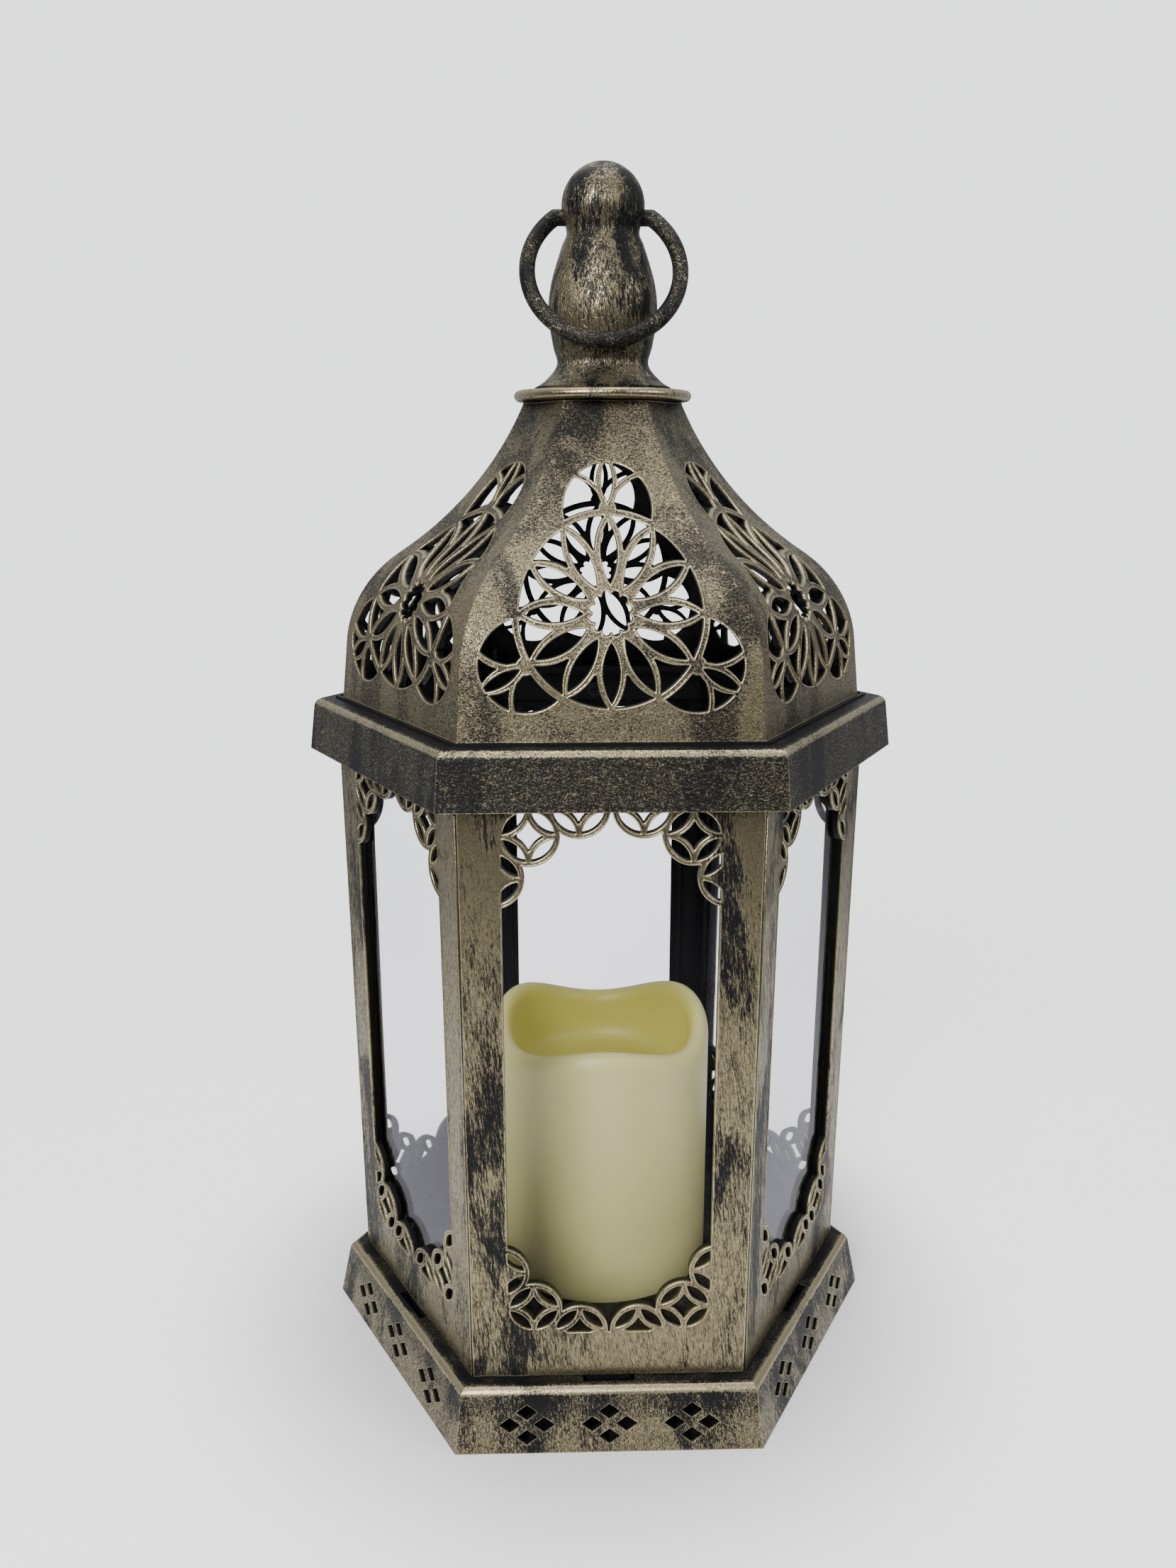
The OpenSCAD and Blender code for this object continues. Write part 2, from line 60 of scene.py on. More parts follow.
PANEL_TOP = node_box("panel_front")[1].z
DOME_LOW, DOME_HIGH = node_box("dome")
BASE_TOP = node_box("base_plinth")[1].z
EAVE_LOW = node_box("cornice")[0].z
CANDLE_LOW, CANDLE_HIGH = node_box("candle_shell")
CANDLE_R = CANDLE_HIGH.x

# Side panels
PANEL_FOOT, PANEL_HEAD = 73.4, 74.8   # centre to the outer face at the base and at the eave
PANEL_LEAN = (PANEL_HEAD - PANEL_FOOT) / (EAVE_LOW - BASE_TOP)
PANEL_T = 2.4
PANEL_Z0 = BASE_TOP + 0.1
SEAM = 0.3                            # gap between two panels at a corner
WINDOW_X = 30.7
SILL_Z = 36.0
HEAD_Z = 203.8
MID_Z = (SILL_Z + HEAD_Z) / 2
RING_R = 8.0                          # centre line of a filigree circle
RIB = 1.6
RAIL_X, RAIL_W, RAIL_D = 33.3, 1.6, 2.2
RAIL_LOW, RAIL_TOP = 28.0, 206.4
HOOK_W, HOOK_T, HOOK_LOW = 14.0, 1.9, 11.5
TOOTH_D, TOOTH_LOW, TOOTH_TOP = 1.7, 15.2, 17.4

# Base and cornice: distance to the outer face at z = 0, and lean in degrees
BASE_LEAN, EAVE_LEAN = 10.6, 6.3
BASE_FACE = node_box("base_plinth")[1].y
EAVE_FACE = node_box("cornice")[1].y + EAVE_LOW * math.tan(math.radians(EAVE_LEAN))

# Dome
DOME_FACE, DOME_WALL_Z = 71.5, 239.8
DOME_OUT_R, DOME_IN_R = 39.7, 101.4
DOME_LEAN, DOME_TURN = math.radians(5.3), math.radians(53.4)
DOME_T = 2.4
DOME_LEVELS = 53
ROSETTE_Z = 255.5
ROSE_R, ROSE_RING, CORNER_R = 25.0, 27.0, 12.6
HUB_R, BEAD_R = 4.9, 1.0              # hole in the middle, and the beads round its edge

# Candle
WICK_FLOOR = 85.0
WAX_RIM, WAX_WAVE, WAX_TILT = 107.5, 3.8, 1.1
WAX_AROUND = 192

# Camera, solved from corners read off the photo: place and direction in metres, lens in mm
CAMERA_AT = (-0.01547, -0.41127, 0.29549)
CAMERA_LOOKS = (0.02584, 0.96903, -0.24558)
LENS = 29.22

# Rounded, slightly raised rim round every opening: distance from the edge and depth below the face
EDGE_R = 0.35
RIM = [(0.0, EDGE_R), (0.3 * EDGE_R, 0.3 * EDGE_R), (EDGE_R, 0.0), (EDGE_R + 0.1, 0.0),
       (EDGE_R + 0.28, 0.14)]
# How far each rim ring is rubbed bright: more paint there, and a painted highlight along the rim
RIM_COAT_AND_HIGHLIGHT = [0.6, 1.0, 1.0, 0.7, 0.0]


# ---------- outlines as signed distances: negative inside an opening ----------

def circle(x, z, cx, cz, r):
    return np.hypot(x - cx, z - cz) - r


def turned(x, z, angle):
    """Coordinates seen from a frame turned by an angle in degrees."""
    a = math.radians(angle)
    return x * math.cos(a) + z * math.sin(a), z * math.cos(a) - x * math.sin(a)


def leaf(x, z, r0, r1, half):
    """A pointed leaf along z between two arcs, half wide to each side."""
    reach = (r1 - r0) / 2
    arc = (reach * reach + half * half) / (2 * half)
    mid = (r0 + r1) / 2
    return np.maximum(circle(x, z, arc - half, mid, arc), circle(x, z, half - arc, mid, arc))


def union(*shapes):
    return np.minimum.reduce(shapes)


def quatrefoil(x, z, open_middle):
    """Openings of one filigree circle: four leaves, and a square between them where it is open."""
    inner, far = RING_R - RIB / 2, RING_R
    near = [circle(x, z, sx * far, sz * far, inner) for sx in (-1, 1) for sz in (-1, 1)]
    disc = circle(x, z, 0, 0, inner)
    shapes = [np.maximum(disc, c) for c in near]
    if open_middle:
        around = union(*[c + inner - (RING_R + RIB / 2) for c in near])
        shapes.append(np.maximum(disc, -around))
    return union(*shapes)


def window(x, z):
    """The window of a panel. It is the same left and right, above and below. Under the line
    through the rings' centres its corners are solid."""
    x, z = np.abs(x), MID_Z - np.abs(z - MID_Z)
    rect = np.maximum(x - WINDOW_X, SILL_Z - z)
    rings = [(RING_R + 1, SILL_Z + 0.6, True), (3 * RING_R - 1, SILL_Z + RING_R + 0.6, True),
             (4 * RING_R + 1, SILL_Z + 21, False)]
    discs = union(*[circle(x, z, cx, cz, RING_R + RIB / 2) for cx, cz, _ in rings])
    (low_x, low_z, _), (side_x, side_z, _) = rings[:2]
    centres = np.minimum(low_z + (x - low_x) * (side_z - low_z) / (side_x - low_x), side_z)
    corner = np.maximum(low_x - x, z - centres)
    foils = union(*[quatrefoil(x - cx, z - cz, is_open) for cx, cz, is_open in rings])
    return np.maximum(rect, np.minimum(-union(discs, corner), foils))


def corner_ring(x, z):
    """Openings of a smaller ring, outward side up, with the main ring's centre below it."""
    rib_r = CORNER_R + 0.7
    bow_x, bow_z = turned(0, rib_r, 105)
    x = np.abs(x)
    bow = circle(x, z, bow_x, bow_z, rib_r)
    solid = union(circle(x, z, 0, -ROSE_RING, ROSE_RING), leaf(x, z, -1, 15, 3.2),
                  circle(x, z, 0, 0, 2.6), np.abs(bow) - RIB / 2)
    disc = circle(x, z, 0, 0, CORNER_R)
    return union(np.maximum(disc, -solid), np.maximum(disc, leaf(x, z, 1.6, 13.8, 1.65)))


def rosette(x, z):
    """The openings of one side of the dome: twelve petals round a beaded hole, and three rings."""
    z = z - ROSETTE_Z
    angle = np.degrees(np.arctan2(x, z))
    part, bead = np.radians((angle + 15) % 30 - 15), np.radians(angle % 30 - 15)
    r = np.hypot(x, z)
    px, pz = np.abs(r * np.sin(part)), r * np.cos(part)
    hole = union(r - HUB_R, circle(r * np.sin(bead), r * np.cos(bead), 0, HUB_R, BEAD_R))
    between = np.maximum(r - ROSE_R, -union(r - 16.6, leaf(px, pz, 5, 26.2, 4.1)))
    shapes = [hole, leaf(px, pz, 7.5, 23.7, 2.3), between]
    for turn in (0, 120, 240):
        tx, tz = turned(x, z, turn)
        shapes.append(corner_ring(tx, tz - ROSE_RING))
    return union(*shapes)


# ---------- contour tracing and flat meshes ----------

def contours(field, x0, x1, z0, z1, step=0.2):
    """Closed loops where a field crosses zero, by marching squares."""
    xs, zs = np.arange(x0, x1 + step, step), np.arange(z0, z1 + step, step)
    f = field(*np.meshgrid(xs, zs, indexing="ij"))
    neg = f < 0
    mixed = (neg[:-1, :-1] != neg[1:, :-1]) | (neg[:-1, :-1] != neg[:-1, 1:]) \
        | (neg[:-1, :-1] != neg[1:, 1:])
    links = {}

    def crossing(i, j, k, m):
        t = f[i, j] / (f[i, j] - f[k, m])
        return (xs[i] + (xs[k] - xs[i]) * t, zs[j] + (zs[m] - zs[j]) * t)

    for i, j in zip(*np.nonzero(mixed)):
        ring = [(i, j), (i + 1, j), (i + 1, j + 1), (i, j + 1)]
        cuts = []
        for a, b in zip(ring, ring[1:] + ring[:1]):
            if neg[a] != neg[b]:
                lo, hi = min(a, b), max(a, b)
                cuts.append(((lo, hi), crossing(*lo, *hi)))
        for (ka, pa), (kb, pb) in zip(cuts[::2], cuts[1::2]):
            links.setdefault(ka, (pa, []))[1].append(kb)
            links.setdefault(kb, (pb, []))[1].append(ka)
    loops, left = [], set(links)
    while left:
        start = min(left)
        loop, here = [], start
        while here in left:
            left.discard(here)
            loop.append(links[here][0])
            here = next((k for k in links[here][1] if k in left), start)
        if len(loop) > 12:
            loops.append(np.array(loop))
    return loops


def simplify(loop, tol=0.012):
    """Douglas-Peucker on a closed loop."""
    far = int(np.argmax(np.hypot(*(loop - loop[0]).T)))

    def reduce(points):
        a, b = points[0], points[-1]
        d = (b - a) / max(np.hypot(*(b - a)), 1e-9)
        off = np.abs((points[:, 0] - a[0]) * d[1] - (points[:, 1] - a[1]) * d[0])
        k = int(np.argmax(off))
        if off[k] < tol or len(points) < 3:
            return [a]
        return reduce(points[:k + 1]) + reduce(points[k:])

    closed = np.vstack([loop, loop[:1]])
    return np.array(reduce(closed[:far + 1]) + reduce(closed[far:]))


def area(loop):
    x, z = loop.T
    return 0.5 * float(np.sum(x * np.roll(z, -1) - z * np.roll(x, -1)))


def inset(loop, distance):
    """Moves a loop to its left by a distance, with limited mitres."""
    ahead = np.roll(loop, -1, 0) - loop
    ahead /= np.maximum(np.hypot(*ahead.T), 1e-9)[:, None]
    back = np.roll(ahead, 1, 0)
    left = np.stack([-(ahead + back)[:, 1], (ahead + back)[:, 0]], 1)
    size = np.maximum(np.hypot(*left.T), 1e-6)
    left /= size[:, None]
    cos_half = np.clip(size / 2, 0.6, 1)
    return loop + left * (distance / cos_half)[:, None]


def fill(loops):
    """Triangles between an outline and its holes."""
    points = [Vector(p) for loop in loops for p in loop]
    edges, start = [], 0
    for loop in loops:
        n = len(loop)
        edges += [(start + i, start + (i + 1) % n) for i in range(n)]
        start += n
    verts, _, faces, origin, _, _ = delaunay_2d_cdt(points, edges, [], 0, 1e-7)
    flat = np.array([v[:] for v in verts])
    a = np.array([points[i][:] for i, _ in edges])
    b = np.array([points[j][:] for _, j in edges])
    centres = np.array([flat[list(f)].mean(0) for f in faces])
    inside = np.zeros(len(faces), bool)
    for p, q in zip(a, b):
        spans = (p[1] > centres[:, 1]) != (q[1] > centres[:, 1])
        if p[1] != q[1]:
            cut = p[0] + (centres[:, 1] - p[1]) / (q[1] - p[1]) * (q[0] - p[0])
            inside ^= spans & (centres[:, 0] < cut)
    source = [o[0] if o else None for o in origin]
    return [[source[v] for v in f] for f, keep in zip(faces, inside)
            if keep and all(source[v] is not None for v in f)]


def pierced_sheet(outline, holes, thickness):
    """A flat plate in (x, z, depth) with rounded, raised rims, as a bmesh with depth and rim layers;
    the rim layer marks rubbed paint and a painted highlight along the rims.
    """
    loops = [outline if area(outline) > 0 else outline[::-1]]
    loops += [h if area(h) < 0 else h[::-1] for h in holes]
    bm = bmesh.new()
    depth_of = bm.verts.layers.float.new("depth")
    rim_coat_and_highlight_of = bm.verts.layers.float.new("rim")

    def ring(loop, offset, depth, rim):
        made = []
        for x, z in inset(loop, offset):
            v = bm.verts.new((x, z, depth))
            v[depth_of], v[rim_coat_and_highlight_of] = depth, rim
            made.append(v)
        return made

    front, back = [], []
    for loop in loops:
        rings = [ring(loop, 0, thickness, 0)]
        rings += [ring(loop, off, depth, coat) for (off, depth), coat in zip(RIM, RIM_COAT_AND_HIGHLIGHT)]
        for low, high in zip(rings, rings[1:]):
            for i in range(len(loop)):
                j = (i + 1) % len(loop)
                bm.faces.new((low[i], low[j], high[j], high[i]))
        front += rings[-1]
        back += rings[0]
    for corners, flip in ((front, False), (back, True)):
        offset = 0 if flip else RIM[-1][0]
        for tri in fill([inset(loop, offset) for loop in loops]):
            if len(set(tri)) == 3:
                verts = [corners[i] for i in (tri[::-1] if flip else tri)]
                if bm.faces.get(verts) is None:
                    bm.faces.new(verts)
    return bm


def add_box(bm, low, high, depth=9.0):
    """A small block in the mesh, unpainted."""
    made = bmesh.ops.create_cube(bm, size=1)["verts"]
    layer = bm.verts.layers.float["depth"]
    for v in made:
        v.co = Vector([(a + b) / 2 + c * (b - a) for a, b, c in zip(low, high, v.co)])
        v[layer] = depth


def to_object(bm, name, body, replaces, material):
    """Turns a bmesh in millimetres into a piece on a body, in place of a CAD node."""
    bmesh.ops.scale(bm, vec=(MM, MM, MM), verts=bm.verts)
    mesh = bpy.data.meshes.new(name)
    bm.to_mesh(mesh)
    bm.free()
    piece = bpy.data.objects.new(name, mesh)
    bpy.context.scene.collection.objects.link(piece)
    mesh.materials.append(material)
    mesh.shade_smooth()
    weighted = piece.modifiers.new("weighted", "WEIGHTED_NORMAL")
    weighted.weight = 80
    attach(piece, body)
    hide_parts(replaces)


# ---------- materials ----------

class Shader:
    """A short way to write the node tree of a material or a world."""

    def __init__(self, owner):
        owner.use_nodes = True
        self.owner = owner
        self.tree = owner.node_tree
        self.tree.nodes.clear()

    def add(self, kind, inputs=None, **settings):
        made = self.tree.nodes.new(kind)
        for key, value in settings.items():
            setattr(made, key, value)
        for key, value in (inputs or {}).items():
            if isinstance(value, bpy.types.NodeSocket):
                self.tree.links.new(value, made.inputs[key])
            else:
                made.inputs[key].default_value = value
        return made

    def math(self, operation, a, b=0.0, c=0.0, clamp=False):
        return self.add("ShaderNodeMath", {0: a, 1: b, 2: c}, operation=operation,
                        use_clamp=clamp).outputs[0]

    def vector(self, operation, a, b=(0, 0, 0)):
        made = self.add("ShaderNodeVectorMath", {0: a, 1: b}, operation=operation)
        return made.outputs["Value" if operation in ("DOT_PRODUCT", "LENGTH") else "Vector"]

    def axis(self, vector, name):
        return self.add("ShaderNodeSeparateXYZ", {0: vector}).outputs[name]

    def in_mm(self, place):
        return self.add("ShaderNodeVectorMath", {0: place, "Scale": 1 / MM},
                        operation="SCALE").outputs["Vector"]

    def noise(self, where, scale, detail=3.0, rough=0.55, distort=0.0):
        return self.add("ShaderNodeTexNoise", {"Vector": where, "Scale": scale, "Detail": detail,
                        "Roughness": rough, "Distortion": distort}).outputs["Fac"]

    def ramp(self, value, low, high, out_low=0.0, out_high=1.0):
        return self.add("ShaderNodeMapRange", {"Value": value, "From Min": low, "From Max": high,
                        "To Min": out_low, "To Max": out_high},
                        interpolation_type="SMOOTHSTEP").outputs[0]

    def mix(self, fac, a, b):
        return self.add("ShaderNodeMix", {0: fac, 6: a, 7: b}, data_type="RGBA").outputs[2]

    def finish(self, surface, kind="Material"):
        out = self.add("ShaderNodeOutput" + kind)
        self.tree.links.new(surface.outputs[0], out.inputs["Surface"])
        return self.owner


def material_shader(name):
    return Shader(bpy.data.materials.new(name))


def brush_marks(s, place, brush, grain, speck, scratch, worn):
    """Strokes, hairlines and grain of the dry brush, about -1 to 1, and the wide worn patches."""
    slant = s.math("MULTIPLY", s.axis(place, "Z"), 0.1)
    lean = s.add("ShaderNodeCombineXYZ", {0: slant, 1: slant}).outputs[0]
    stroke = s.vector("MULTIPLY", s.vector("ADD", place, lean), brush)
    streaks = s.ramp(s.noise(stroke, grain, 3, 0.75, 0.3), 0.36, 0.64, -1, 1)
    hairs = s.ramp(s.noise(stroke, grain * 3, 1, 0.5), 0.36, 0.64, -1, 1)
    specks = s.ramp(s.noise(place, 2.4, 2, 0.65), 0.36, 0.64, -1, 1)
    marks = s.math("MULTIPLY_ADD", streaks, 0.24, s.math("MULTIPLY", hairs, 0.34))
    marks = s.math("MULTIPLY_ADD", specks, speck, marks)
    for turn in (0.0, 37.0, 71.0):
        moved = s.vector("ADD", place, (turn, -turn, 2 * turn))
        curve = s.math("ABSOLUTE", s.math("SUBTRACT", s.noise(moved, 0.22, 0), 0.5))
        gap = s.ramp(s.noise(moved, 0.35, 1), 0.5, 0.56)
        line = s.math("MULTIPLY", s.ramp(curve, 0.008, 0.0), gap)
        marks = s.math("MULTIPLY_ADD", line, scratch, marks)
    zone = s.noise(s.vector("MULTIPLY", place, (1, 1, 0.32)), worn, 3, 0.6, 0.6)
    zone = s.math("MULTIPLY_ADD", streaks, 0.035, zone)
    return marks, s.ramp(zone, 0.34, 0.57, -1, 0.45)


def wall_depth(s, place, foot, lean):
    """Depth in mm behind the leaning outer faces of a hexagonal skirt."""
    axis = s.add("ShaderNodeSeparateXYZ", {0: s.vector("ABSOLUTE", place)})
    skew = s.math("MULTIPLY_ADD", axis.outputs["X"], math.cos(math.radians(30)),
                  s.math("MULTIPLY", axis.outputs["Y"], 0.5))
    reach = s.math("MAXIMUM", skew, axis.outputs["Y"])
    face = s.math("MULTIPLY_ADD", axis.outputs["Z"], -math.tan(math.radians(lean)), foot)
    return s.math("SUBTRACT", face, reach)


def worn_and_highlit_edges(s, radius):
    """1 on edges, where the paint is rubbed bright and a highlight is painted, from the difference to a
    rounded normal.
    """
    rounded = s.add("ShaderNodeBevel", {"Radius": radius * MM}, samples=6).outputs[0]
    true = s.add("ShaderNodeNewGeometry").outputs["Normal"]
    return s.ramp(s.vector("DOT_PRODUCT", rounded, true), 0.985, 0.90)


def skirt_wear_and_highlight(s, place, up, amount, face, lean):
    """For the base and the cornice: the depth behind the outer face, how far edges and the lips of
    openings are rubbed bright and carry a painted highlight, and the amount of paint, less on the flat
    deck."""
    # Upward-facing rounded top edges: rubbed paint, and a painted highlight where the top light falls
    edge = s.math("MULTIPLY", s.ramp(up, 0.25, 0.5), s.ramp(up, 0.99, 0.85))
    behind = wall_depth(s, place, face, lean)
    lip = s.math("MULTIPLY", worn_and_highlit_edges(s, 0.6), s.ramp(behind, 0.3, 0.08, 0.0, 0.9))
    deck = s.ramp(up, 0.97, 0.999)
    return behind, s.math("MAXIMUM", edge, lip), s.math("MULTIPLY_ADD", deck, -0.35, amount)


def skirt_cover(s, place, up, marks, behind, clear_z):
    """1 where paint reaches: just inside the openings, and on faces that look up above clear_z."""
    inner = s.ramp(s.math("MULTIPLY_ADD", marks, 0.1, behind), 0.55, 0.25)
    inner = s.math("MULTIPLY", inner, s.ramp(up, -0.4, -0.1))
    top = s.math("MULTIPLY", s.ramp(up, 0.15, 0.4),
                 s.ramp(s.axis(place, "Z"), clear_z, clear_z + 0.4))
    return s.math("MAXIMUM", inner, top)


def bronze(name, brush=(1, 1, 0.035), cover=0.0, patch=0.5, grain=1.8, speck=0.3, scratch=0.25,
           worn=0.05, contrast=0.6, skirt=None, dark_band=None, flange=None, gloss=0.19):
    """Champagne bronze dry-brushed over black plastic, lighter on rims, rubbed edges and the flange:
    part rubbed paint, part painted highlight. brush: stretch of the strokes per axis;
    worn: scale of the dark patches; contrast: how far strokes bare the black; skirt: for the base
    and the cornice, distance to the outer face at z = 0, its lean, and the height above which no
    opening lies; dark_band: heights between which the surface turns darker upwards; flange: radius
    beyond which a turned part is rubbed bright and given a painted highlight; gloss: how much smoother
    paint is than plastic."""
    s = material_shader(name)
    where = s.add("ShaderNodeTexCoord")
    place = s.in_mm(where.outputs["Object"])
    up = s.axis(where.outputs["Normal"], "Z")
    marks, zones = brush_marks(s, place, brush, grain, speck, scratch, worn)
    depth = s.add("ShaderNodeAttribute", attribute_name="depth").outputs["Fac"]
    rim = s.add("ShaderNodeAttribute", attribute_name="rim").outputs["Fac"]
    amount = s.math("MULTIPLY_ADD", marks, contrast, s.math("MULTIPLY_ADD", zones, patch, cover))
    if skirt:
        behind, rim, amount = skirt_wear_and_highlight(s, place, up, amount, *skirt[:2])
    if dark_band:
        # Darker upwards between the band's heights, except on rims
        darker_upwards = s.ramp(s.axis(place, "Z"), *dark_band)
        darker_upwards = s.math("MULTIPLY", darker_upwards, s.math("SUBTRACT", 1, rim))
        amount = s.math("MULTIPLY_ADD", darker_upwards, -0.35, amount)
    if flange:
        rim = s.ramp(s.vector("LENGTH", s.vector("MULTIPLY", place, (1, 1, 0))), flange, flange + 1.2)
    # Rims, rubbed edges and the flange get more paint: part rubbed paint, part painted highlight
    amount = s.math("MULTIPLY_ADD", rim, 0.8, amount)
    coat = s.ramp(amount, -0.55, 0.6)
    ragged = s.math("MULTIPLY_ADD", marks, 0.15, depth)
    coat = s.math("MULTIPLY", coat, s.ramp(ragged, 1.0, 0.45))
    if skirt:
        coat = s.math("MULTIPLY", coat, skirt_cover(s, place, up, marks, behind, skirt[2]))
    # The same rims are painted lighter in tone: a painted highlight along them
    tone = s.math("MULTIPLY_ADD", marks, 0.45, s.math("MULTIPLY_ADD", rim, 0.35, 0.35), clamp=True)
    paint = s.mix(tone, (0.10, 0.081, 0.044, 1), (0.50, 0.435, 0.27, 1))
    color = s.mix(coat, (0.006, 0.006, 0.007, 1), paint)
    bump = s.add("ShaderNodeBump", {"Strength": 0.7, "Distance": 0.05 * MM,
                 "Height": s.math("MULTIPLY_ADD", marks, 0.5, coat)})
    surface = s.add("ShaderNodeBsdfPrincipled", {
        "Base Color": color, "Metallic": s.math("MULTIPLY", coat, 0.97), "Specular IOR Level": 0.12,
        "Roughness": s.math("MULTIPLY_ADD", coat, -gloss, 0.42), "Normal": bump.outputs[0]})
    return s.finish(surface)


def plastic(name, color, rough=0.4, metallic=0.0):
    """Moulded plastic or plated metal with a faint grain."""
    s = material_shader(name)
    place = s.add("ShaderNodeTexCoord").outputs["Object"]
    grain = s.noise(place, 1500, 3)
    cloud = s.noise(place, 60, 2)
    dark = tuple(c * 0.75 for c in color) + (1,)
    bump = s.add("ShaderNodeBump", {"Strength": 0.15, "Distance": 0.03 * MM, "Height": grain})
    surface = s.add("ShaderNodeBsdfPrincipled", {
        "Base Color": s.mix(s.ramp(cloud, 0.35, 0.65), dark, color + (1,)), "Metallic": metallic,
        "Roughness": s.ramp(grain, 0.3, 0.7, rough - 0.06, rough + 0.06), "Normal": bump.outputs[0]})
    return s.finish(surface)


def clear_sheet():
    """Thin clear plastic: light passes straight through and the surface reflects more at a slant."""
    s = material_shader("clear_sheet")
    place = s.add("ShaderNodeTexCoord").outputs["Object"]
    smear = s.noise(place, 35, 2)
    bump = s.add("ShaderNodeBump", {"Strength": 0.05, "Distance": 0.1 * MM, "Height": smear})
    clear = s.add("ShaderNodeBsdfTransparent", {"Color": (0.975, 0.975, 0.985, 1)})
    gloss = s.add("ShaderNodeBsdfGlossy", {"Color": (0.9, 0.9, 1, 1),
                  "Roughness": s.ramp(smear, 0.3, 0.7, 0.02, 0.06), "Normal": bump.outputs[0]})
    facing = s.add("ShaderNodeLayerWeight", {"Blend": 0.5}).outputs["Facing"]
    slant = s.math("MULTIPLY_ADD", s.math("POWER", facing, 5), 0.7, 0.004)
    mixed = s.add("ShaderNodeMixShader", {0: slant, 1: clear.outputs[0], 2: gloss.outputs[0]})
    return s.finish(mixed)


def wax():
    """Cream wax, with painted shade inside the well: darker and more yellow there."""
    s = material_shader("wax")
    place = s.add("ShaderNodeTexCoord").outputs["Object"]
    cloud = s.ramp(s.noise(s.vector("MULTIPLY", place, (1, 1, 0.5)), 30, 3), 0.3, 0.7)
    fine = s.noise(place, 900, 3)
    bump = s.add("ShaderNodeBump", {"Strength": 0.12, "Distance": 0.05 * MM, "Height": fine})
    across = s.vector("LENGTH", s.vector("MULTIPLY", place, (1, 1, 0)))
    # Painted shade: the well is coloured darker and more yellow, for the shade and light bounced inside
    # it
    inside = s.ramp(across, (CANDLE_R - 3) * MM, (CANDLE_R - 6.5) * MM)
    cream = s.mix(cloud, (0.60, 0.57, 0.24, 1), (0.64, 0.61, 0.265, 1))
    color = s.mix(inside, cream, (0.60, 0.55, 0.12, 1))
    surface = s.add("ShaderNodeBsdfPrincipled", {
        "Base Color": color, "Roughness": s.ramp(fine, 0.3, 0.7, 0.36, 0.46),
        "Subsurface Weight": 0.6, "Subsurface Radius": (1.0, 0.75, 0.3), "Subsurface Scale": 6 * MM,
        "Normal": bump.outputs[0]})
    return s.finish(surface)


# ---------- pieces ----------

def panel_face(z):
    return PANEL_FOOT + (z - BASE_TOP) * PANEL_LEAN


def side_panels(material):
    """Six mitred panels with filigree windows, pane rails and catch hooks."""
    holes = [simplify(loop) for loop in
             contours(window, -WINDOW_X - 1, WINDOW_X + 1, SILL_Z - 1, HEAD_Z + 1)]
    half = [(panel_face(z) * TAN30 - SEAM * TAN30, z) for z in (PANEL_Z0, PANEL_TOP)]
    outline = np.array([(-half[0][0], half[0][1]), half[0], half[1], (-half[1][0], half[1][1])])
    for k, side in enumerate(SIDES):
        bm = pierced_sheet(outline, holes, PANEL_T)
        for v in bm.verts:
            x, z, depth = v.co
            edge = panel_face(z) * TAN30 - SEAM * TAN30
            if abs(x) > edge - 1:
                x -= math.copysign(depth * TAN30, x)
            v.co = (x, depth - panel_face(z), z)
        back = PANEL_T - panel_face(MID_Z)
        for s in (-1, 1):
            x0, x1 = sorted((s * RAIL_X, s * (RAIL_X + RAIL_W)))
            add_box(bm, (x0, back - 0.4, RAIL_LOW), (x1, back + RAIL_D, RAIL_TOP))
        foot = 0.3 - PANEL_FOOT
        add_box(bm, (-HOOK_W / 2, foot, HOOK_LOW), (HOOK_W / 2, foot + HOOK_T, BASE_TOP + 3))
        add_box(bm, (-HOOK_W / 2, foot - TOOTH_D, TOOTH_LOW), (HOOK_W / 2, foot + 0.2, TOOTH_TOP))
        bmesh.ops.rotate(bm, cent=(0, 0, 0), matrix=Matrix.Rotation(math.radians(60 * k), 3, "Z"),
                         verts=bm.verts)
        bmesh.ops.recalc_face_normals(bm, faces=bm.faces)
        to_object(bm, "side_panel_" + side, "housing", "panel_" + side, material)


def dome_profile(z, moved_in):
    """Distance of a dome side from the axis at a height: a leaning wall, a bulge, then a hollow."""
    c1 = (DOME_FACE - DOME_OUT_R * math.cos(DOME_LEAN),
          DOME_WALL_Z - DOME_OUT_R * math.sin(DOME_LEAN))
    reach = DOME_OUT_R + DOME_IN_R
    c2 = (c1[0] + reach * math.cos(DOME_TURN), c1[1] + reach * math.sin(DOME_TURN))
    out_r, in_r = DOME_OUT_R - moved_in, DOME_IN_R + moved_in
    if z < c1[1] + out_r * math.sin(DOME_LEAN):
        rise = c1[1] + out_r * math.sin(DOME_LEAN) - z
        return c1[0] + out_r * math.cos(DOME_LEAN) + rise * math.tan(DOME_LEAN)
    if z < c1[1] + out_r * math.sin(DOME_TURN):
        return c1[0] + math.sqrt(out_r ** 2 - (z - c1[1]) ** 2)
    return c2[0] - math.sqrt(in_r ** 2 - (z - c2[1]) ** 2)


def cut(bm, where, normal, dist, drop=False):
    bmesh.ops.bisect_plane(bm, geom=bm.verts[:] + bm.edges[:] + bm.faces[:], dist=dist,
                           plane_co=where, plane_no=normal, clear_inner=drop)


